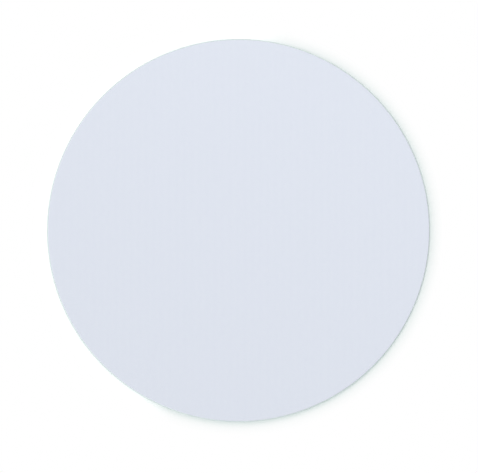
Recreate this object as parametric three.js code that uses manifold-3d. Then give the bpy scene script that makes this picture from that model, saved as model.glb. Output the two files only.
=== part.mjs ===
// A round cloth mouse pad, laminated as a sheet and cut out with one round die.
// From the desk up: a treaded rubber skin, a foam rubber core, a hot-melt bond film and a knitted cloth face.
// Millimetres, +Z up. The origin is the centre of the underside, on the surface that the pad lies on.

import * as THREE from "three";
import { mergeVertices } from "three/addons/utils/BufferGeometryUtils.js";
import Module from "manifold-3d";

// Outline and layers
const PAD_DIAMETER = 200; // across the foot of the cut edge
const CLOTH_THICKNESS = 0.4;
const BOND_THICKNESS = 0.1;
const FOAM_THICKNESS = 1.87;
const SKIN_WEB = 0.2; // solid rubber left above the tread grooves
const TREAD_DEPTH = 0.4; // how far the tread grooves reach up from the desk
const LAYER_GAP = 0.01; // between one bonded face and the next

// Cut edge
const CUT_LEAN = 0.8; // the edge leans in this far over the pad's whole thickness
const FOAM_HOLLOW = 0.12; // the foam springs back this far behind the straight edge, at mid height
const CLOTH_CUT = 0.1; // straight cut at the foot of the cloth, below the rim that the die rounds over

// Tread on the underside: wavy ribs with grooves between them, running along X
const RIB_WIDTH = 3.6; // at the desk
const GROOVE_WIDTH = 2.4; // at the mouth
const GROOVE_FLANK = 0.4; // each flank leans in this far between the mouth and the floor
const WAVE_LENGTH = 30;
const WAVE_HEIGHT = 1.6; // from the middle of a wave to its crest
const GROOVE_OVERCUT = 0.1; // the groove cutters start this far below the desk

// Facets
const OUTLINE_SIDES = 144;
const FOAM_WALL_STEPS = 4;
const CLOTH_ROUND_STEPS = 4;
const STEPS_PER_WAVE = 6;

// Heights of the layers' undersides, and of the cloth's face
const SKIN_THICKNESS = TREAD_DEPTH + SKIN_WEB;
const FOAM_BASE = SKIN_THICKNESS + LAYER_GAP;
const BOND_BASE = FOAM_BASE + FOAM_THICKNESS + LAYER_GAP;
const CLOTH_BASE = BOND_BASE + BOND_THICKNESS + LAYER_GAP;
const PAD_THICKNESS = CLOTH_BASE + CLOTH_THICKNESS;

const wasm = await Module();
wasm.setup();

// The radius of the straight cut edge at a height above the desk
function cutRadius(height) {
  return PAD_DIAMETER / 2 - (CUT_LEAN * height) / PAD_THICKNESS;
}

// A closed disc turned from its wall, a list of (radius, height) points that runs from its underside to its top
function disc(wall) {
  const underside = new THREE.Vector2(0, wall[0].y);
  const top = new THREE.Vector2(0, wall[wall.length - 1].y);
  const turned = new THREE.LatheGeometry([underside, ...wall, top], OUTLINE_SIDES);
  return turned.rotateX(Math.PI / 2);
}

// A straight wall for a layer with its underside at a height, in the layer's own frame
function straightWall(base, thickness) {
  return [
    new THREE.Vector2(cutRadius(base), 0),
    new THREE.Vector2(cutRadius(base + thickness), thickness),
  ];
}

// The foam's wall, drawn in between the skin and the cloth by half a sine wave
function foamWall() {
  return Array.from({ length: FOAM_WALL_STEPS + 1 }, (_, i) => {
    const share = i / FOAM_WALL_STEPS;
    const height = share * FOAM_THICKNESS;
    const hollow = FOAM_HOLLOW * Math.sin(Math.PI * share);
    return new THREE.Vector2(cutRadius(FOAM_BASE + height) - hollow, height);
  });
}

// The cloth's wall: a straight cut, then a quarter round up onto the face
function clothWall() {
  const round = CLOTH_THICKNESS - CLOTH_CUT;
  const rim = cutRadius(CLOTH_BASE + CLOTH_CUT);
  const arc = Array.from({ length: CLOTH_ROUND_STEPS + 1 }, (_, i) => {
    const turn = ((Math.PI / 2) * i) / CLOTH_ROUND_STEPS;
    return new THREE.Vector2(rim - round * (1 - Math.cos(turn)), CLOTH_CUT + round * Math.sin(turn));
  });
  return [new THREE.Vector2(cutRadius(CLOTH_BASE), 0), ...arc];
}

// The cutter for one groove: the wavy band of the groove's floor, which a bevel widens to the mouth at the desk.
// Its two sides are like cosine waves along X that run out past the pad.
function grooveCutter(middle) {
  const step = WAVE_LENGTH / STEPS_PER_WAVE;
  const reach = Math.ceil(PAD_DIAMETER / 2 / step) + 1;
  const side = (offset) =>
    Array.from({ length: 2 * reach + 1 }, (_, i) => {
      const x = (i - reach) * step;
      const swing = WAVE_HEIGHT * Math.cos((2 * Math.PI * x) / WAVE_LENGTH);
      return new THREE.Vector2(x, middle + offset + swing);
    });
  const halfFloor = GROOVE_WIDTH / 2 - GROOVE_FLANK;
  const floor = new THREE.Shape([...side(-halfFloor), ...side(halfFloor).reverse()]);
  const cutter = new THREE.ExtrudeGeometry(floor, {
    depth: GROOVE_OVERCUT,
    bevelThickness: TREAD_DEPTH,
    bevelSize: GROOVE_FLANK,
    bevelSegments: 1,
  });
  return cutter.translate(0, 0, -GROOVE_OVERCUT);
}

// A geometry as a solid that can be cut
function solid(geometry) {
  const bare = geometry.clone();
  bare.deleteAttribute("normal");
  bare.deleteAttribute("uv");
  const merged = mergeVertices(bare);
  return new wasm.Manifold(
    new wasm.Mesh({
      numProp: 3,
      vertProperties: new Float32Array(merged.attributes.position.array),
      triVerts: new Uint32Array(merged.index.array),
    }),
  );
}

// A solid as a geometry that can be shown
function geometryOf(body) {
  const { vertProperties, triVerts } = body.getMesh();
  const geometry = new THREE.BufferGeometry();
  geometry.setAttribute("position", new THREE.BufferAttribute(vertProperties, 3));
  geometry.setIndex(new THREE.BufferAttribute(triVerts, 1));
  geometry.computeVertexNormals();
  return geometry;
}

// The skin: a plain disc with a rib along its middle and as many whole grooves as fit on either side
function treadedSkin() {
  const pitch = RIB_WIDTH + GROOVE_WIDTH;
  const reach = PAD_DIAMETER / 2 - WAVE_HEIGHT - GROOVE_WIDTH / 2;
  let skin = solid(disc(straightWall(0, SKIN_THICKNESS)));
  for (let middle = pitch / 2; middle < reach; middle += pitch) {
    skin = skin.subtract(solid(grooveCutter(middle)));
    skin = skin.subtract(solid(grooveCutter(-middle)));
  }
  return geometryOf(skin);
}

function layer(name, geometry, base, colour, roughness) {
  const material = new THREE.MeshStandardMaterial({ color: colour, roughness, metalness: 0 });
  const mesh = new THREE.Mesh(geometry, material);
  mesh.name = name;
  mesh.position.z = base;
  return mesh;
}

const pad = new THREE.Group();
pad.name = "mouse_pad";
pad.add(layer("grip_skin", treadedSkin(), 0, 0xcddadb, 0.8));
pad.add(layer("foam_core", disc(foamWall()), FOAM_BASE, 0xddebea, 0.95));
pad.add(layer("bond_film", disc(straightWall(BOND_BASE, BOND_THICKNESS)), BOND_BASE, 0xe9ebe6, 0.5));
pad.add(layer("top_cloth", disc(clothWall()), CLOTH_BASE, 0xdfe5ef, 0.9));

export default pad;
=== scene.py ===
# %% [markdown]
# A round cloth mouse pad, dressed for the camera. The real pad is a laminate: a knitted face, a glue
# film, a sheet of foam rubber and a treaded rubber skin, pressed together and then cut out with one round
# die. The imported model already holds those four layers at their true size, so this lesson reads the main
# sizes from them and makes each layer again with a finer surface.

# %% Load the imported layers
import math

import bpy
import numpy as np
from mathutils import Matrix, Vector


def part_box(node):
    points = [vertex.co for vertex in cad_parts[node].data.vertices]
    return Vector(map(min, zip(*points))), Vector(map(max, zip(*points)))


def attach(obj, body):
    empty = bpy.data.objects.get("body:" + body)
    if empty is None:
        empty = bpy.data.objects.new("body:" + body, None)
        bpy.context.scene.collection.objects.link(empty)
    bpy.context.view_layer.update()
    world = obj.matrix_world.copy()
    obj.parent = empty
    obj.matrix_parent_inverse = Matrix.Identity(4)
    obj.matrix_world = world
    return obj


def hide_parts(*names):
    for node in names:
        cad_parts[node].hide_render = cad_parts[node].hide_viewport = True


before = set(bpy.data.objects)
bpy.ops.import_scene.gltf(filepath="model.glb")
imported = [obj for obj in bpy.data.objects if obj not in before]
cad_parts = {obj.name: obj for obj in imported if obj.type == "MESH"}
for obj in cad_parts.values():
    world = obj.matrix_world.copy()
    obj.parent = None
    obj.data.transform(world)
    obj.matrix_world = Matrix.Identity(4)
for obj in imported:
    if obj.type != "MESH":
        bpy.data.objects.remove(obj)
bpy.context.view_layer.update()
MM = 0.001
print("layers:", sorted(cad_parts))

# %% [markdown]
# The layers' own boxes give the pad's radius and every level in it. They could be typed in again, but
# sizes that are read can't drift from the solids. The edge of the pad leans in a little from its foot to
# the cloth, because foam gives way under the die, so the radius of the cut is a straight line in height.
# The film is widest at its underside, and that width gives the lean. Keeping the line as one function
# means that all four layers meet in one clean edge.

# %% Measure the stack
_, skin_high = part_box("grip_skin")
foam_low, foam_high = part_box("foam_core")
film_low, film_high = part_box("bond_film")
cloth_low, cloth_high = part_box("top_cloth")
FOOT_RADIUS = skin_high.x
PAD_TOP = cloth_high.z
CUT_LEAN = (FOOT_RADIUS - film_high.x) * PAD_TOP / film_low.z


def cut_radius(height):
    """Radius of the cut edge at a height: the foot's radius less a lean that grows evenly with height."""
    return FOOT_RADIUS - CUT_LEAN * height / PAD_TOP


print(f"pad {2 * FOOT_RADIUS / MM:.1f} mm across, {PAD_TOP / MM:.2f} mm thick, lean {CUT_LEAN / MM:.2f} mm")

# %% [markdown]
# All four layers are closed skins without holes, so one helper can make every mesh. A Screw modifier
# could turn a disc too, but it repeats one profile, and these walls change all the way round. The helper
# takes a stack of closed loops: an array of loops by points by three numbers. The first and last loop
# shrink to one point each, a pole, and neighbouring loops are joined by four-sided faces. Most pieces
# here are turned, so a second helper sweeps a profile into such loops. Edges sharper than the angle below
# stay crisp.

# %% Turn a stack of loops into a mesh
SHARP_ANGLE = math.radians(40)


def skin_loops(name, loops):
    """A closed mesh from loops, an array of loop by point by xyz, whose first and last loop are poles.

    Quads join point i of one loop with point i of the next, and a fan of triangles closes each pole.
    """
    count, around, _ = loops.shape
    inner = loops[1:-1].reshape(-1, 3)
    points = np.vstack([loops[0].mean(0), inner, loops[-1].mean(0)])
    ring = np.arange(around)
    after = np.roll(ring, -1)
    starts = 1 + around * np.arange(count - 3)[:, None]
    quads = np.stack([starts + ring, starts + after, starts + around + after, starts + around + ring], -1)
    final = 1 + around * (count - 3)
    low_fan = np.stack([np.zeros_like(ring), 1 + after, 1 + ring], -1)
    high_fan = np.stack([final + ring, final + after, np.full_like(ring, len(points) - 1)], -1)
    faces = quads.reshape(-1, 4).tolist() + low_fan.tolist() + high_fan.tolist()
    mesh = bpy.data.meshes.new(name)
    mesh.from_pydata(points.tolist(), [], faces)
    mesh.shade_smooth()
    mesh.set_sharp_from_angle(angle=SHARP_ANGLE)
    piece = bpy.data.objects.new(name, mesh)
    bpy.context.scene.collection.objects.link(piece)
    return piece


def turn(radius, height, around):
    """Loops for a turned piece: radii and heights (loop, or loop by point) swept once about the Z axis."""
    angle = np.linspace(0, 2 * np.pi, around, endpoint=False)
    radius = np.broadcast_to(radius.reshape(len(radius), -1), (len(radius), around))
    height = np.broadcast_to(height.reshape(len(height), -1), (len(height), around))
    return np.stack([radius * np.cos(angle), radius * np.sin(angle), height], -1)


print(f"edges sharper than {math.degrees(SHARP_ANGLE):.0f} degrees stay crisp")

# %% [markdown]
# Each piece is measured as soon as it is made. Blender hands over a property of all points or faces at
# once, so numpy can do the sum. The volume comes out positive only if the faces point out. The packed
# solids are measured first, to compare the new pieces with.


# %% Measure a mesh
def column(items, name, width=1, kind=np.float32):
    """One property of many mesh items, such as the place of every point, as an array of item by number."""
    values = np.empty((len(items), width), kind)
    items.foreach_get(name, values.ravel())
    return values


def measured(piece):
    """Prints a piece's triangles and its volume, the sum of signed tetrahedra from the origin to each."""
    mesh = piece.data
    mesh.calc_loop_triangles()
    corners = column(mesh.loop_triangles, "vertices", 3, np.int32)
    a, b, c = column(mesh.vertices, "co", 3).astype(float)[corners].transpose(1, 0, 2)
    volume = np.einsum("ij,ij->", a, np.cross(b, c)) / 6
    print(f"{piece.name}: {len(corners)} triangles, {volume * 1e6:.2f} cm3")
    return piece


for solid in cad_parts.values():
    measured(solid)

# %% [markdown]
# The knitted face is the piece that everyone sees. Its profile runs from the middle of its underside out
# to the cut, up a short straight edge, over the rim that the die has rolled down, and back to the middle
# of the face. Near the rim the face sinks a little, because the die squeezed the foam below it there, and
# the rest of the face carries a long, very shallow waviness from the laminating rolls. A cloth simulation
# could settle it, but cloth that is glued down all over has nowhere to go, so the sink and the waviness
# are formulas.

# %% The knitted face
CLOTH_CUT = 0.1 * MM
RIM_SINK = 0.03 * MM
RIM_SINK_REACH = 1.6 * MM
FACE_WAVE = 0.012 * MM
WAVE_ACROSS = 9 * MM
WAVE_ALONG = 13 * MM
WAVE_BEND = 23 * MM
WAVE_SWAY = 1.3
WAVE_SHIFT = 0.7
AROUND_FACE = 720
FACE_RINGS = 48
CROWD_TO_RIM = 1.6
RIM_STEPS = 8


def knitted_face():
    """Loops of the cloth: flat underside, straight cut, quarter-round rim, then a face that rises off it.

    The rings of the face crowd towards its rim by a power of their number. The face's height is the
    cloth's top, less a sink that dies away from the rim, plus a shallow waviness: a sine across the pad
    that sways along it, times a cosine along it.
    """
    base_radius = cut_radius(cloth_low.z)
    round_off = cloth_high.z - cloth_low.z - CLOTH_CUT
    rim_radius = cut_radius(cloth_low.z + CLOTH_CUT)
    face_edge = rim_radius - round_off
    lean = np.linspace(0, np.pi / 2, RIM_STEPS + 1)[:-1]
    radius = np.concatenate([
        [0, base_radius / 2, base_radius],
        rim_radius - round_off * (1 - np.cos(lean)),
        face_edge * (1 - np.linspace(0, 1, FACE_RINGS + 1) ** CROWD_TO_RIM),
    ])
    height = np.concatenate([
        np.full(3, cloth_low.z),
        cloth_low.z + CLOTH_CUT + round_off * np.sin(lean),
        np.full(FACE_RINGS + 1, cloth_high.z),
    ])
    loops = turn(radius, height, AROUND_FACE)
    x, y, z = np.moveaxis(loops, -1, 0)
    upper = (z - cloth_low.z) / (cloth_high.z - cloth_low.z)
    near_rim = np.exp(-np.clip(face_edge - radius, 0, None) / RIM_SINK_REACH)[:, None]
    sway = WAVE_SWAY * np.sin(y / WAVE_BEND)
    wave = np.sin(x / WAVE_ACROSS + sway) * np.cos(y / WAVE_ALONG + WAVE_SHIFT)
    loops[..., 2] += upper * (FACE_WAVE * wave * (1 - near_rim) - RIM_SINK * near_rim)
    return skin_loops("knitted_face", loops)


face = measured(knitted_face())

# %% [markdown]
# Real sheet goods are never perfectly even, and cut foam is never perfectly smooth. A Displace modifier
# could roughen a wall with a texture. Here seeded random numbers are smoothed by damping the high
# frequencies of their Fourier transform, because the result repeats at its edges and so closes cleanly
# round the pad. It serves the two layers that come next. Both are flat discs that show nothing but their
# wall, so a second helper closes a wall, a grid of radii by height and angle, into a disc.


# %% Make uneven walls
def unevenness(rows, columns, row_blur, column_blur, seed):
    """Random heights of unit spread, blurred by Gaussians of so many rows and columns, that repeat."""
    rough = np.random.default_rng(seed).standard_normal((rows, columns))
    row_wave = np.fft.fftfreq(rows)[:, None] * row_blur
    column_wave = np.fft.fftfreq(columns)[None, :] * column_blur
    damping = np.exp(-2 * np.pi ** 2 * (row_wave ** 2 + column_wave ** 2))
    smooth = np.fft.ifft2(np.fft.fft2(rough) * damping).real
    return smooth / smooth.std()


def walled_disc(name, edge, height):
    """A closed disc: its wall, in rows from the underside up, then a ring halfway in on each flat side."""
    around = edge.shape[1]
    middle = np.zeros(around)
    radius = np.vstack([middle, edge[0] / 2, edge, edge[-1] / 2, middle])
    level = np.concatenate([height[:1], height[:1], height, height[-1:], height[-1:]])
    return skin_loops(name, turn(radius, level, around))


print(f"the wall leans {math.degrees(math.atan2(CUT_LEAN, PAD_TOP)):.1f} degrees")

# %% [markdown]
# Between the cloth and the foam lies a film of hot-melt glue. Only its edge is ever seen, as a fine pale
# line that stands a hair proud where the press squeezed it out. The line could be painted on the foam,
# but a bulge in a wall of its own catches the light, and a short one is all it needs.

# %% The glue film
FILM_BULGE = 0.03 * MM
SQUEEZE_SPREAD = 0.35
SQUEEZE_BLUR = 5
AROUND_FILM = 720
FILM_STEPS = 6


def glue_film():
    """A flat disc whose edge bulges by half a sine wave that comes and goes round it."""
    share = np.linspace(0, 1, FILM_STEPS + 1)[:, None]
    height = film_low.z + (film_high.z - film_low.z) * share
    squeeze = 1 + SQUEEZE_SPREAD * unevenness(1, AROUND_FILM, 0, SQUEEZE_BLUR, seed=11)
    edge = cut_radius(height) + FILM_BULGE * np.sin(np.pi * share) * squeeze
    return walled_disc("glue_film", edge, height)


film = measured(glue_film())

# %% [markdown]
# The foam gives the pad its spring. Its cut wall is drawn in between the stiffer layers above and below
# it, and it is rough with opened bubbles, each a few tenths of a millimetre across. The wall is a fine
# grid of height by angle, so the roughness can be true relief and not only a painted one.

# %% The foam sheet
FOAM_HOLLOW = 0.12 * MM
BUBBLE_RELIEF = 0.022 * MM
BUBBLE_BLUR = (1.1, 0.8)
AROUND_FOAM = 1440
FOAM_WALL_STEPS = 16


def foam_sheet():
    """A flat disc whose wall is the cut edge less half a sine wave, plus the bubbles' relief."""
    share = np.linspace(0, 1, FOAM_WALL_STEPS + 1)[:, None]
    height = foam_low.z + (foam_high.z - foam_low.z) * share
    bubbles = unevenness(FOAM_WALL_STEPS + 1, AROUND_FOAM, *BUBBLE_BLUR, seed=23)
    drawn_in = np.sin(np.pi * share)
    edge = cut_radius(height) - FOAM_HOLLOW * drawn_in + BUBBLE_RELIEF * bubbles * np.sqrt(drawn_in)
    return walled_disc("foam_sheet", edge, height)


foam = measured(foam_sheet())

# %% [markdown]
# Underneath, a dense rubber skin carries wavy ribs that grip the desk. The grooves could be cut from a
# disc one by one, but a formula rounds their corners as a press does. So the skin is made in the order of
# the works: a treaded sheet comes first, larger than the pad, and a round die then cuts the skin out of
# it. The sheet is a grid whose rows follow the waves, close together over the flanks of the grooves and
# far apart over the flats. Each row is a closed loop, along the tread and back over the flat top.

# %% The treaded sheet
TREAD_DEPTH = 0.4 * MM
TREAD_PITCH = 6.0 * MM
HALF_MOUTH = 1.2 * MM
HALF_FLOOR = 0.8 * MM
CORNER_ROW = 0.1 * MM
FLANK_STEPS = 6
WAVE_LENGTH = 30 * MM
WAVE_HEIGHT = 1.6 * MM
SHEET_MARGIN = 4 * MM
ALONG_SHEET = 131


def tread_rows():
    """Rows as distances from the middle line: for each groove the rib beside it, its flanks and corners.

    The grooves lie half a pitch off the middle line and then a pitch apart, as far as whole ones fit in.
    """
    centres = np.arange(TREAD_PITCH / 2, FOOT_RADIUS - WAVE_HEIGHT - HALF_MOUTH, TREAD_PITCH)
    flank = np.linspace(HALF_FLOOR, HALF_MOUTH, FLANK_STEPS + 1)
    flank = np.concatenate([[HALF_FLOOR - CORNER_ROW], flank, [HALF_MOUTH + CORNER_ROW]])
    across = np.concatenate([[-TREAD_PITCH / 2], -flank[::-1], flank])
    rows = (np.concatenate([-centres[::-1], centres])[:, None] + across).ravel()
    return np.append(rows, centres[-1] + TREAD_PITCH / 2)


def treaded_sheet():
    """Loops of the sheet: rows that swing by a cosine along x and rise by a smooth step into each groove.

    The outermost rows are straight and lie past the pad, so that the sheet has square ends.
    """
    rows = tread_rows()
    from_groove = np.abs((rows / TREAD_PITCH) % 1 - 0.5) * TREAD_PITCH
    step = np.clip((HALF_MOUTH - from_groove) / (HALF_MOUTH - HALF_FLOOR), 0, 1)
    lift = TREAD_DEPTH * step ** 2 * (3 - 2 * step)
    reach = FOOT_RADIUS + SHEET_MARGIN
    rows = np.concatenate([[-reach] * 2, rows, [reach] * 2])[:, None]
    lift = np.pad(lift, 2)[:, None]
    swing = np.where(np.abs(rows) < reach, WAVE_HEIGHT, 0)
    x = np.concatenate([np.linspace(reach, -reach, ALONG_SHEET), [-reach, reach]])
    on_top = np.arange(len(x)) >= ALONG_SHEET
    y = rows + swing * np.cos(2 * np.pi * x / WAVE_LENGTH)
    z = np.where(on_top, skin_high.z, lift)
    return skin_loops("treaded_skin", np.stack([np.broadcast_to(x, y.shape), y, z], -1))


sheet = measured(treaded_sheet())

# %% [markdown]
# The die is a plain turned plug with the lean of the pad's edge. The sheet's points could be pulled onto
# a circle instead, but that would bend the ribs. A Boolean modifier keeps what the sheet and the die
# share, which trims every rib cleanly where it runs out through the rim. Its result is then made the mesh
# of the piece, and the die is thrown away.

# %% The treaded skin, cut out
AROUND_DIE = 720


def cut_out(piece, die):
    """Leaves of a piece what it shares with the die, as one plain mesh."""
    blank = piece.data
    cut = piece.modifiers.new("die", "BOOLEAN")
    cut.operation = "INTERSECT"
    cut.solver = "EXACT"
    cut.object = die
    bpy.context.view_layer.update()
    result = piece.evaluated_get(bpy.context.evaluated_depsgraph_get())
    piece.data = bpy.data.meshes.new_from_object(result)
    piece.modifiers.clear()
    piece.data.set_sharp_from_angle(angle=SHARP_ANGLE)
    for mesh in (blank, die.data):
        bpy.data.meshes.remove(mesh)
    return piece


die_height = np.array([-skin_high.z, -skin_high.z, 2 * skin_high.z, 2 * skin_high.z])
die_radius = cut_radius(die_height) * [0, 1, 1, 0]
skin = measured(cut_out(sheet, skin_loops("die", turn(die_radius, die_height, AROUND_DIE))))

# %% [markdown]
# Finishes come next. Colours are written as the sRGB hex values that a colour picker shows, and one
# function turns them into the linear numbers that the shader needs. A second one adds any node, sets its
# properties and fills its inputs, so that each finish below reads as a list of steps. The Mix node has
# sockets for numbers, vectors and colours under the same names, so its colour sockets go by number.

# %% Tools for the finishes
MIX_SHARE, MIX_FIRST, MIX_SECOND = 0, 6, 7
MIX_RESULT = 2


def to_linear(code):
    """An sRGB hex colour as linear RGBA: channel / 12.92 near black, else ((c + 0.055) / 1.055) ** 2.4."""
    channel = np.array([int(code[i:i + 2], 16) for i in (1, 3, 5)]) / 255
    linear = np.where(channel <= 0.04045, channel / 12.92, ((channel + 0.055) / 1.055) ** 2.4)
    return (*linear.tolist(), 1.0)


def add_node(tree, kind, inputs=None, **settings):
    """Adds a node, sets its properties and fills its inputs.

    An input takes a constant, a socket that is linked to it, or a node, which stands for its first output.
    """
    node = tree.nodes.new(kind)
    for key, value in settings.items():
        setattr(node, key, value)
    for key, value in (inputs or {}).items():
        source = value.outputs[0] if isinstance(value, bpy.types.Node) else value
        if isinstance(source, bpy.types.NodeSocket):
            tree.links.new(source, node.inputs[key])
        else:
            node.inputs[key].default_value = source
    return node


def new_finish(name):
    """An empty material, its node tree, and the Object coordinates that its patterns are laid out on."""
    material = bpy.data.materials.new(name)
    material.use_nodes = True
    tree = material.node_tree
    tree.nodes.clear()
    place = add_node(tree, "ShaderNodeTexCoord").outputs["Object"]
    return material, tree, place


print("pure red in linear numbers:", to_linear("#FF0000"))

# %% [markdown]
# The face is polyester jersey: a weft knit whose front shows columns of V-shaped stitches, called wales,
# set flat with heat so that a hand slides over it. Up close it is a matte, slightly silky grain with
# straight upright lines. Each stitch could be a loop of modelled yarn, but the pad has about a hundred
# thousand of them, so a pattern draws them. The real wales are about 0.6 mm wide, which is one pixel
# here, so they are drawn twice as wide to show at all. A stitch is worked out from two numbers: how far a
# point lies from the middle of its wale, and how far up its course. The course is tilted by the first
# number, which makes the V.

# %% Lay out the stitches
WALE = 1.2 * MM
COURSE = 0.95 * MM
STITCH_SLANT = 0.8
YARN_WANDER = 0.16 * MM
WANDER_LENGTH = 7 * MM


def stitch_places(tree, place):
    """Four nodes: a point's wale, its place across it, its distance from the middle, and its course.

    The place goes from -1 to 1 and the distance from 0 to 1. Soft noise first pushes the point aside a
    little, because yarn never lies quite straight.
    """
    drift = add_node(tree, "ShaderNodeTexNoise", {
        "Vector": place, "Scale": 1 / WANDER_LENGTH, "Detail": 2.0})
    centred = add_node(tree, "ShaderNodeVectorMath", {
        0: drift.outputs["Color"], 1: (0.5, 0.5, 0.5)}, operation="SUBTRACT")
    bent = add_node(tree, "ShaderNodeVectorMath", {
        0: centred, 1: (YARN_WANDER,) * 3, 2: place}, operation="MULTIPLY_ADD")
    axis = add_node(tree, "ShaderNodeSeparateXYZ", {0: bent})
    wale = add_node(tree, "ShaderNodeMath", {0: axis.outputs["X"], 1: 1 / WALE}, operation="MULTIPLY")
    share = add_node(tree, "ShaderNodeMath", {0: wale}, operation="FRACT")
    across = add_node(tree, "ShaderNodeMath", {0: share, 1: 2.0, 2: -1.0}, operation="MULTIPLY_ADD")
    leg = add_node(tree, "ShaderNodeMath", {0: across}, operation="ABSOLUTE")
    level = add_node(tree, "ShaderNodeMath", {0: axis.outputs["Y"], 1: 1 / COURSE}, operation="MULTIPLY")
    course = add_node(tree, "ShaderNodeMath", {
        0: leg, 1: STITCH_SLANT, 2: level}, operation="MULTIPLY_ADD")
    return wale, across, leg, course


print(f"stitches of {WALE / MM:.2f} by {COURSE / MM:.2f} mm")

# %% [markdown]
# The yarn of a stitch is highest along the middle of each leg and dips where it passes under the next
# course, so its height is made of two rounded bumps. Fine fibres follow the yarn, because their noise is
# laid out along it. The legs of real stitches catch the light unequally, so each one gets a random painted
# shade that stands in for that light.

# %% Raise and shade the yarn
LEG_ROUND = 0.5
COURSE_ROUND = 0.6
COURSE_RISE = 0.4
FIBRE_RISE = 0.3
FIBRES_ACROSS_YARN = 7.0


def rounded(tree, share, power):
    """sin(pi * share) ** power: up from 0, rounded over and down to 0 again."""
    angle = add_node(tree, "ShaderNodeMath", {0: share, 1: math.pi}, operation="MULTIPLY")
    sine = add_node(tree, "ShaderNodeMath", {0: angle}, operation="SINE")
    return add_node(tree, "ShaderNodeMath", {0: sine, 1: power}, operation="POWER")


def yarn_height(tree, wale, across, leg, course):
    """Leg's bump * (1 - rise + rise * course's bump) + a share of noise that follows the yarn."""
    up = add_node(tree, "ShaderNodeMath", {0: course}, operation="FRACT")
    rise = add_node(tree, "ShaderNodeMath", {
        0: rounded(tree, up, COURSE_ROUND), 1: COURSE_RISE, 2: 1 - COURSE_RISE}, operation="MULTIPLY_ADD")
    stitch = add_node(tree, "ShaderNodeMath", {
        0: rounded(tree, leg, LEG_ROUND), 1: rise}, operation="MULTIPLY")
    strands = add_node(tree, "ShaderNodeMath", {0: course, 1: FIBRES_ACROSS_YARN}, operation="MULTIPLY")
    along_yarn = add_node(tree, "ShaderNodeCombineXYZ", {"X": strands, "Y": across, "Z": wale})
    fibre = add_node(tree, "ShaderNodeTexNoise", {"Vector": along_yarn, "Scale": 1.0, "Detail": 2.0})
    return add_node(tree, "ShaderNodeMath", {
        0: fibre, 1: FIBRE_RISE, 2: stitch}, operation="MULTIPLY_ADD")


def painted_leg_light(tree, wale, course):
    """A random number for each leg of each stitch, from the numbers of its half wale and its course; it
    picks the leg's painted light.
    """
    half_wale = add_node(tree, "ShaderNodeMath", {0: wale, 1: 2.0}, operation="MULTIPLY")
    leg_number = add_node(tree, "ShaderNodeMath", {0: half_wale}, operation="FLOOR")
    course_number = add_node(tree, "ShaderNodeMath", {0: course}, operation="FLOOR")
    which = add_node(tree, "ShaderNodeCombineXYZ", {"X": leg_number, "Y": course_number})
    return add_node(tree, "ShaderNodeTexWhiteNoise", {"Vector": which}, noise_dimensions="2D")


print(f"{FIBRES_ACROSS_YARN:.0f} fibres across a yarn")

# %% [markdown]
# With the stitches laid out, the finish of the face is short: yarn of two near shades, which are painted
# light, a deeper colour down between the yarns, which is painted shade, and a little sheen, as heat-set
# polyester has.

# %% Finish for the knitted face
YARN_RELIEF = 0.05 * MM


def knitted_polyester():
    """Colour and dullness go by the yarn's height, so the colour deepens as painted shade down between the
    yarns, and a bump gives its relief.
    """
    material, tree, place = new_finish("polyester jersey, knitted and heat set")
    wale, across, leg, course = stitch_places(tree, place)
    height = yarn_height(tree, wale, across, leg, course)
    # painted light: each leg takes one of two near shades at random, for the light it would catch
    yarn = add_node(tree, "ShaderNodeMix", {
        MIX_SHARE: painted_leg_light(tree, wale, course),
        MIX_FIRST: to_linear("#E2E7F2"), MIX_SECOND: to_linear("#E4E9F3")}, data_type="RGBA")
    # painted shade: the colour deepens into the low gaps between the yarns
    colour = add_node(tree, "ShaderNodeMix", {
        MIX_SHARE: height,
        MIX_FIRST: to_linear("#D4DBE8"), MIX_SECOND: yarn.outputs[MIX_RESULT]}, data_type="RGBA")
    dullness = add_node(tree, "ShaderNodeMapRange", {"Value": height, "To Min": 0.95, "To Max": 0.8})
    bump = add_node(tree, "ShaderNodeBump", {"Strength": 0.6, "Distance": YARN_RELIEF, "Height": height})
    shader = add_node(tree, "ShaderNodeBsdfPrincipled", {
        "Base Color": colour.outputs[MIX_RESULT], "Roughness": dullness, "Normal": bump,
        "Specular IOR Level": 0.25, "Sheen Weight": 0.08, "Sheen Roughness": 0.5})
    add_node(tree, "ShaderNodeOutputMaterial", {"Surface": shader})
    return material


face.data.materials.append(knitted_polyester())
print("face finish:", face.data.materials[0].name)

# %% [markdown]
# The glue is a polyurethane film that was melted and set again: smooth, a little glossy, and faintly warm
# beside the cloth. It streaks along the edge where it was squeezed out. One noise that is stretched along
# the layer gives the streaks their colour, their gloss and their relief, so that the three agree.

# %% Finish for the glue film
GLUE_STREAK = 2.5 * MM
STREAK_STRETCH = 8
STREAK_RELIEF = 0.02 * MM


def melted_film():
    """Two near whites mixed by noise that is stretched along the layer, with a little bump from it."""
    material, tree, place = new_finish("polyurethane hot-melt film, pressed")
    flat = add_node(tree, "ShaderNodeMapping", {"Vector": place, "Scale": (1, 1, STREAK_STRETCH)})
    streak = add_node(tree, "ShaderNodeTexNoise", {
        "Vector": flat, "Scale": 1 / GLUE_STREAK, "Detail": 4.0})
    colour = add_node(tree, "ShaderNodeMix", {
        MIX_SHARE: streak,
        MIX_FIRST: to_linear("#DFE2DC"), MIX_SECOND: to_linear("#EEF0EA")}, data_type="RGBA")
    gloss = add_node(tree, "ShaderNodeMapRange", {"Value": streak, "To Min": 0.3, "To Max": 0.5})
    bump = add_node(tree, "ShaderNodeBump", {
        "Strength": 0.4, "Distance": STREAK_RELIEF, "Height": streak})
    shader = add_node(tree, "ShaderNodeBsdfPrincipled", {
        "Base Color": colour.outputs[MIX_RESULT], "Roughness": gloss, "Normal": bump, "IOR": 1.49})
    add_node(tree, "ShaderNodeOutputMaterial", {"Surface": shader})
    return material


film.data.materials.append(melted_film())
print("film finish:", film.data.materials[0].name)
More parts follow.
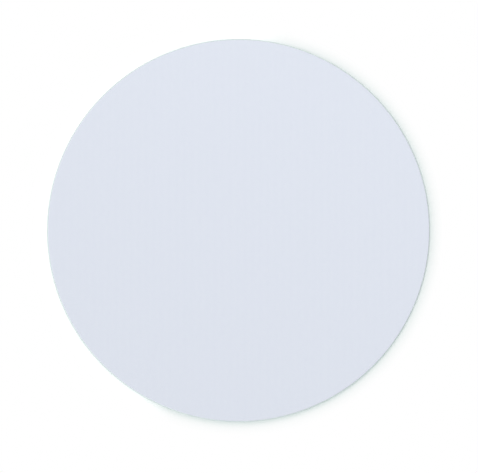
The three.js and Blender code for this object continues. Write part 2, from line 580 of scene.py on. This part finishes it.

# %% [markdown]
# Foam rubber is blown with gas, and the die opens its bubbles along the cut: a dull off-white wall,
# pitted all over with round holes of every size. Plain noise would give clouds and no holes. A Voronoi
# texture scatters points through space, and a ball round each point, with a random radius, is a bubble.
# The wall cuts through the balls, as the die does. Real bubbles are about 0.15 mm across and are drawn at
# twice that, so that they show as a grain. A second, finer crop fills the rubber between them, and fine
# level lines from the blade run round the wall. The colour darkens with the depth of the pits and of the
# blade lines, as painted shade in the hollows. A ball's radius, and how far inside it a pit is at its
# deepest, are shares of the spacing.

# %% Finish for the foam
LARGE_BUBBLES = {"spacing": 0.32 * MM, "smallest": 0.45, "largest": 0.85}
SMALL_BUBBLES = {"spacing": 0.15 * MM, "smallest": 0.2, "largest": 0.8}
FULL_PIT = 0.6
PIT_DEPTH = 0.06 * MM
BLADE_LINE = 0.3 * MM
BLADE_STRETCH = 25
BLADE_RISE = 0.35


def bubble_pits(tree, place, spacing, smallest, largest):
    """Smooth step of (a ball's radius - the distance to its middle), from 0 at its rim up to 1 inside."""
    bubble = add_node(tree, "ShaderNodeTexVoronoi", {"Vector": place, "Scale": 1 / spacing})
    ball = add_node(tree, "ShaderNodeMapRange", {
        "Value": bubble.outputs["Color"], "To Min": smallest, "To Max": largest})
    inside = add_node(tree, "ShaderNodeMath", {
        0: ball, 1: bubble.outputs["Distance"]}, operation="SUBTRACT")
    return add_node(tree, "ShaderNodeMapRange", {
        "Value": inside, "From Max": FULL_PIT}, interpolation_type="SMOOTHSTEP")


def foam_rubber():
    """Relief = the deeper of two crops of pits, plus blade lines, which are noise drawn out level; the
    colour darkens with it as painted shade.
    """
    material, tree, place = new_finish("foam rubber, blown and die cut")
    pit = add_node(tree, "ShaderNodeMath", {
        0: bubble_pits(tree, place, **LARGE_BUBBLES),
        1: bubble_pits(tree, place, **SMALL_BUBBLES)}, operation="MAXIMUM")
    level = add_node(tree, "ShaderNodeMapping", {
        "Vector": place, "Scale": (1 / BLADE_STRETCH, 1 / BLADE_STRETCH, 1)})
    blade = add_node(tree, "ShaderNodeTexNoise", {
        "Vector": level, "Scale": 1 / BLADE_LINE, "Detail": 2.0})
    relief = add_node(tree, "ShaderNodeMath", {0: blade, 1: BLADE_RISE, 2: pit}, operation="MULTIPLY_ADD")
    # painted shade: the deeper the relief, the darker the colour
    tone = add_node(tree, "ShaderNodeMapRange", {"Value": relief, "From Min": 0.1, "From Max": 1.16})
    colour = add_node(tree, "ShaderNodeMix", {
        MIX_SHARE: tone,
        MIX_FIRST: to_linear("#EBF7F6"), MIX_SECOND: to_linear("#D0DFDF")}, data_type="RGBA")
    dull = add_node(tree, "ShaderNodeMapRange", {"Value": tone, "To Min": 0.88, "To Max": 1.0})
    bump = add_node(tree, "ShaderNodeBump", {
        "Strength": 0.6, "Distance": PIT_DEPTH, "Height": relief}, invert=True)
    shader = add_node(tree, "ShaderNodeBsdfPrincipled", {
        "Base Color": colour.outputs[MIX_RESULT], "Roughness": dull, "Normal": bump,
        "Specular IOR Level": 0.3})
    add_node(tree, "ShaderNodeOutputMaterial", {"Surface": shader})
    return material


foam.data.materials.append(foam_rubber())
print("foam finish:", foam.data.materials[0].name)

# %% [markdown]
# The skin is solid rubber of the same mix, pressed against a textured plate while it cured: a shade deeper
# than the foam, fine grained, with a soft gloss on the rib tops and grooves that are duller and darker. A
# mask could be painted for the grooves, but the height of a point already tells a groove from a rib.

# %% Finish for the skin
PLATE_GRAIN = 0.35 * MM
GRAIN_RELIEF = 0.04 * MM
GRAIN_TONE = 0.6


def pressed_rubber():
    """Fine noise for the plate's grain, and a tone that deepens with height into the grooves."""
    material, tree, place = new_finish("solid rubber, pressed on a grained plate")
    grain = add_node(tree, "ShaderNodeTexNoise", {
        "Vector": place, "Scale": 1 / PLATE_GRAIN, "Detail": 4.0})
    axis = add_node(tree, "ShaderNodeSeparateXYZ", {0: place})
    depth = add_node(tree, "ShaderNodeMapRange", {"Value": axis.outputs["Z"], "From Max": TREAD_DEPTH})
    tone = add_node(tree, "ShaderNodeMath", {
        0: grain, 1: GRAIN_TONE, 2: depth}, operation="MULTIPLY_ADD", use_clamp=True)
    colour = add_node(tree, "ShaderNodeMix", {
        MIX_SHARE: tone,
        MIX_FIRST: to_linear("#D8E4E5"), MIX_SECOND: to_linear("#C2CFD1")}, data_type="RGBA")
    gloss = add_node(tree, "ShaderNodeMapRange", {"Value": tone, "To Min": 0.6, "To Max": 0.85})
    bump = add_node(tree, "ShaderNodeBump", {"Strength": 0.5, "Distance": GRAIN_RELIEF, "Height": grain})
    shader = add_node(tree, "ShaderNodeBsdfPrincipled", {
        "Base Color": colour.outputs[MIX_RESULT], "Roughness": gloss, "Normal": bump, "IOR": 1.52})
    add_node(tree, "ShaderNodeOutputMaterial", {"Surface": shader})
    return material


skin.data.materials.append(pressed_rubber())
print("skin finish:", skin.data.materials[0].name)

# %% [markdown]
# These finishes are node patterns, and a shared model carries pictures. Whoever exports the pad bakes each
# finish into one square picture that a UV map lays over the piece, and an automatic map would spend half of
# it on faces that are glued to the next layer. So each piece brings a map of its own, under a name kept for
# baking. A map says for every corner of every face where it lies in the square, so the first step is to
# find each corner's angle, radius and height.

# %% Unroll the pieces
MAP_NAME = "OFBake"


def unroll(piece):
    """For every corner of every face: angle, radius and height, then the face's upward slope and angle.

    The radius is a share of the foot's radius, and the height is a share of the piece's own height.
    """
    mesh = piece.data
    x, y, z = column(mesh.vertices, "co", 3)[column(mesh.loops, "vertex_index", 1, np.int32)[:, 0]].T
    corners = column(mesh.polygons, "loop_total", 1, np.int32)[:, 0]
    upward = np.repeat(column(mesh.polygons, "normal", 3)[:, 2], corners)
    face_x, face_y, _ = np.repeat(column(mesh.polygons, "center", 3), corners, axis=0).T
    radius = np.hypot(x, y) / FOOT_RADIUS
    height = (z - z.min()) / np.ptp(z)
    return np.arctan2(y, x), radius, height, upward, np.arctan2(face_y, face_x)


def lay_map(piece, u, v):
    """Stores u and v of every face corner as the piece's map for baking."""
    layer = piece.data.uv_layers.new(name=MAP_NAME)
    layer.uv.foreach_set("vector", np.stack([u, v], -1).astype(np.float32).ravel())
    print(f"{piece.name}: map from {min(u.min(), v.min()):.3f} to {max(u.max(), v.max()):.3f}")


print("face corners to map:", sum(len(piece.data.loops) for piece in (face, film, foam, skin)))

# %% [markdown]
# The cloth and the skin spread the side that shows over a large disc, with the cut edge as a ring round
# it. The glued side shrinks to a small disc in a corner of the square. A face counts as cut edge if it is
# steep, which the flanks of the grooves are not.

# %% Map the cloth and the skin
DISC = 0.465
RING = 0.02
GLUED_DISC = 0.06
GLUED_MIDDLE = 0.07
STEEP = 0.4


def map_disc(piece, shown):
    """The side that shows, 1 for the top and -1 for the underside, laid flat in a ring of wall."""
    angle, radius, height, upward, _ = unroll(piece)
    wall = np.abs(upward) < STEEP
    glued = ~wall & (upward * shown < 0)
    depth = np.where(wall, height if shown < 0 else 1 - height, 0)
    spread = np.where(glued, GLUED_DISC, DISC) * radius + RING * depth
    middle = np.where(glued, GLUED_MIDDLE, 0.5)
    lay_map(piece, middle + spread * np.cos(angle), middle + spread * np.sin(angle))


map_disc(face, 1)
map_disc(skin, -1)

# %% [markdown]
# The film and the foam show only their wall. It is cut into equal parts of the turn, which lie one above
# the other as level strips. Their two flat sides share what is left at the top of the square.

# %% Map the film and the foam
WALL_STRIPS = 16
STRIP_HEIGHT = 0.05
STRIP_MARGIN = 0.1
END_MARGIN = 0.01
FLAT_DISC = 0.08
FLAT_MIDDLE = (0.2, 0.9)
FLAT_OFFSET = 0.1
NEARLY_FLAT = 0.95


def map_strips(piece):
    """The wall in strips, equal parts of the turn: u is the way along one, v its number plus the height."""
    angle, radius, height, upward, face_angle = unroll(piece)
    wall = np.abs(upward) < NEARLY_FLAT
    face_turn = (face_angle / (2 * np.pi)) % 1
    turned = face_turn + ((angle - face_angle) / (2 * np.pi) + 0.5) % 1 - 0.5
    strip = np.floor(face_turn * WALL_STRIPS)
    along = END_MARGIN + (1 - 2 * END_MARGIN) * (turned * WALL_STRIPS - strip)
    up = (strip + STRIP_MARGIN + (1 - 2 * STRIP_MARGIN) * height) * STRIP_HEIGHT
    flat_u = FLAT_MIDDLE[0] + FLAT_OFFSET * np.sign(upward) + FLAT_DISC * radius * np.cos(angle)
    flat_v = FLAT_MIDDLE[1] + FLAT_DISC * radius * np.sin(angle)
    lay_map(piece, np.where(wall, along, flat_u), np.where(wall, up, flat_v))


map_strips(film)
map_strips(foam)

# %% [markdown]
# Each layer now takes the place of its imported solid: it hangs from the root body, and the solid is
# hidden.

# %% Fit the layers to the frame
for piece, node, slot in [
    (face, "top_cloth", "face_cloth"),
    (film, "bond_film", "hot_melt_film"),
    (foam, "foam_core", "foam_rubber"),
    (skin, "grip_skin", "skin_rubber"),
]:
    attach(piece, "root")
    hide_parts(node)

# %% [markdown]
# The stage is a flat sheet of white paper. More light could burn it out to white, but it would burn the pad
# out too. So for the camera, and for reflections, the paper is a little pink and gives off a green glow
# that makes up the difference to white. A shadow takes light from the paper and none from the glow, so it
# turns out soft and cool. The glow ends at the rim, so that none shines out from under the pad. Close to
# the rim the paper's colour and glow add up to a little less than white, a painted shadow, which goes over
# to plain white a few millimetres off the rim. On the lit side a margin of painted light burns the shadow
# out.

# %% Finish for the paper
BURN_AZIMUTH = math.radians(163)
LIT_MARGIN = 0.2
BURN_START = 2 * MM
BURN_END = 28 * MM
SHADOW_REACH = 7.5 * MM
UNDER_EDGE = 0.3 * MM
burn_side = (math.cos(BURN_AZIMUTH), math.sin(BURN_AZIMUTH), 0.0)


def seen_directly(tree):
    """1 for camera, glossy and transmission rays and 0 for the rest, which light the pad."""
    path = add_node(tree, "ShaderNodeLightPath")
    first = add_node(tree, "ShaderNodeMath", {
        0: path.outputs["Is Camera Ray"], 1: path.outputs["Is Glossy Ray"]}, operation="MAXIMUM")
    return add_node(tree, "ShaderNodeMath", {
        0: first, 1: path.outputs["Is Transmission Ray"]}, operation="MAXIMUM")


def white_paper():
    """Seen: pink paper + glow, a little below white near the rim as painted shadow, + a margin of painted
    light on the lit side, plain white off the rim. Else: plain paper.
    """
    material, tree, place = new_finish("white paper")
    seen = seen_directly(tree)
    tint = add_node(tree, "ShaderNodeMix", {
        MIX_SHARE: seen,
        MIX_FIRST: to_linear("#EEEEEE"), MIX_SECOND: to_linear("#F4E2E8")}, data_type="RGBA")
    matte = add_node(tree, "ShaderNodeBsdfDiffuse", {"Color": tint.outputs[MIX_RESULT]})
    away = add_node(tree, "ShaderNodeVectorMath", {0: place}, operation="LENGTH").outputs["Value"]
    outside = add_node(tree, "ShaderNodeMapRange", {
        "Value": away, "From Min": FOOT_RADIUS - UNDER_EDGE, "From Max": FOOT_RADIUS})
    glow_level = add_node(tree, "ShaderNodeMath", {0: outside, 1: seen}, operation="MULTIPLY")
    glow = add_node(tree, "ShaderNodeEmission", {"Color": to_linear("#3C7E6F"), "Strength": glow_level})
    lit = add_node(tree, "ShaderNodeVectorMath", {0: place, 1: burn_side}, operation="DOT_PRODUCT")
    burn = add_node(tree, "ShaderNodeMapRange", {
        "Value": lit.outputs["Value"], "From Min": BURN_START, "From Max": BURN_END,
        "To Max": LIT_MARGIN}, interpolation_type="SMOOTHSTEP")
    # painted light: extra glow on the lit side that burns the shadow out
    margin_level = add_node(tree, "ShaderNodeMath", {0: burn, 1: glow_level}, operation="MULTIPLY")
    margin = add_node(tree, "ShaderNodeEmission", {"Strength": margin_level})
    shaded = add_node(tree, "ShaderNodeAddShader", {0: matte, 1: glow})
    near = add_node(tree, "ShaderNodeAddShader", {0: shaded, 1: margin})
    far = add_node(tree, "ShaderNodeEmission", {"Strength": 1.0})
    # painted shadow: near the rim the paper stays a little below white, then goes over to plain white
    fade = add_node(tree, "ShaderNodeMapRange", {
        "Value": away, "From Min": FOOT_RADIUS, "From Max": FOOT_RADIUS + SHADOW_REACH},
        interpolation_type="SMOOTHSTEP")
    share = add_node(tree, "ShaderNodeMath", {0: fade, 1: seen}, operation="MULTIPLY")
    mixed = add_node(tree, "ShaderNodeMixShader", {0: share, 1: near, 2: far})
    add_node(tree, "ShaderNodeOutputMaterial", {"Surface": mixed})
    return material


paper = white_paper()
print("floor finish:", paper.name)

# %% [markdown]
# The paper itself is one large square, a hair below the pad so that the two never share a plane.

# %% The floor
FLOOR_DROP = 0.02 * MM
FLOOR_SIZE = 8.0

half = FLOOR_SIZE / 2
floor_corners = [(-half, -half), (half, -half), (half, half), (-half, half)]
floor_mesh = bpy.data.meshes.new("floor")
floor_mesh.from_pydata([(x, y, -FLOOR_DROP) for x, y in floor_corners], [], [(0, 1, 2, 3)])
floor_mesh.materials.append(paper)
floor = bpy.data.objects.new("floor", floor_mesh)
bpy.context.scene.collection.objects.link(floor)
print(f"floor {FLOOR_SIZE:.0f} m square")

# %% [markdown]
# Light comes from a white world that is brighter on one side, like a room with a wide window, and from
# one soft white lamp above the far side, a little to the right. A picture of a room could give such
# light, but a slope does as much for a flat matte thing. Their shares add up to about one on the face,
# which is the level at which a written colour renders as it is written. Rays that are seen directly meet
# plain white.

# %% The world
SKY_AZIMUTH = math.radians(218)
WORLD_SHARE = 0.76
SKY_SLOPE = 0.72
WHITE = to_linear("#FFFFFF")
sky_side = (math.cos(SKY_AZIMUTH), math.sin(SKY_AZIMUTH), 0.0)


def pale_world():
    """Brightness = share * (1 + slope * cosine to the lit side) for light, plain white for seen rays."""
    world = bpy.data.worlds.new("pale_world")
    world.use_nodes = True
    tree = world.node_tree
    tree.nodes.clear()
    seen = seen_directly(tree)
    direction = add_node(tree, "ShaderNodeTexCoord").outputs["Generated"]
    cosine = add_node(tree, "ShaderNodeVectorMath", {0: direction, 1: sky_side}, operation="DOT_PRODUCT")
    level = add_node(tree, "ShaderNodeMath", {
        0: cosine.outputs["Value"], 1: WORLD_SHARE * SKY_SLOPE, 2: WORLD_SHARE}, operation="MULTIPLY_ADD")
    sky = add_node(tree, "ShaderNodeBackground", {"Color": WHITE, "Strength": level})
    plain = add_node(tree, "ShaderNodeBackground", {"Color": WHITE, "Strength": 1.0})
    both = add_node(tree, "ShaderNodeMixShader", {0: seen, 1: sky, 2: plain})
    add_node(tree, "ShaderNodeOutputWorld", {"Surface": both})
    return world


bpy.context.scene.world = pale_world()
print("world:", bpy.context.scene.world.name)

# %% [markdown]
# The watts of an area lamp follow from its share: share times pi squared, times distance squared, over
# the cosine at the pad. Standard view then shows the colours as they come out, without a film curve.

# %% The lamp
LAMP_SHARE = 0.25
LAMP_PLACE = (0.3, 1.0, 1.15)
LAMP_SIZE = 0.9


def soft_lamp():
    """A square area lamp turned to the pad's middle, with the watts that give its share on the face."""
    data = bpy.data.lights.new("soft_lamp", "AREA")
    data.size = LAMP_SIZE
    distance = math.dist(LAMP_PLACE, (0, 0, 0))
    data.energy = LAMP_SHARE * math.pi ** 2 * distance ** 2 / (LAMP_PLACE[2] / distance)
    lamp = bpy.data.objects.new("soft_lamp", data)
    lamp.location = LAMP_PLACE
    lamp.rotation_mode = "QUATERNION"
    lamp.rotation_quaternion = lamp.location.to_track_quat("Z", "Y")
    lamp.visible_camera = False
    bpy.context.scene.collection.objects.link(lamp)
    print(f"soft_lamp: {data.energy:.1f} W")


soft_lamp()
bpy.context.scene.view_settings.view_transform = "Standard"

# %% [markdown]
# The photograph looks straight down. The pad is a true circle in it, so the camera hangs above with no
# tilt. It could be fitted by eye, but the lens follows from the pad's radius in pixels, and the camera
# stands a little off the middle because the pad does so in the frame.

# %% The camera
PHOTO_SIZE = (478, 473)
PAD_CENTRE_PX = (238.6, 230.5)
PAD_RADIUS_PX = 191.5
CAMERA_HEIGHT = 1.2
SENSOR_WIDTH = 36.0

metres_per_pixel = FOOT_RADIUS / PAD_RADIUS_PX
camera_data = bpy.data.cameras.new("camera")
camera_data.sensor_fit = "HORIZONTAL"
camera_data.sensor_width = SENSOR_WIDTH
camera_data.lens = SENSOR_WIDTH * CAMERA_HEIGHT / (PHOTO_SIZE[0] * metres_per_pixel)
camera = bpy.data.objects.new("camera", camera_data)
camera.location = (
    (PHOTO_SIZE[0] / 2 - PAD_CENTRE_PX[0]) * metres_per_pixel,
    (PAD_CENTRE_PX[1] - PHOTO_SIZE[1] / 2) * metres_per_pixel,
    CAMERA_HEIGHT,
)
bpy.context.scene.collection.objects.link(camera)
bpy.context.scene.camera = camera
print(f"lens {camera_data.lens:.1f} mm, {metres_per_pixel / MM:.3f} mm to a pixel")
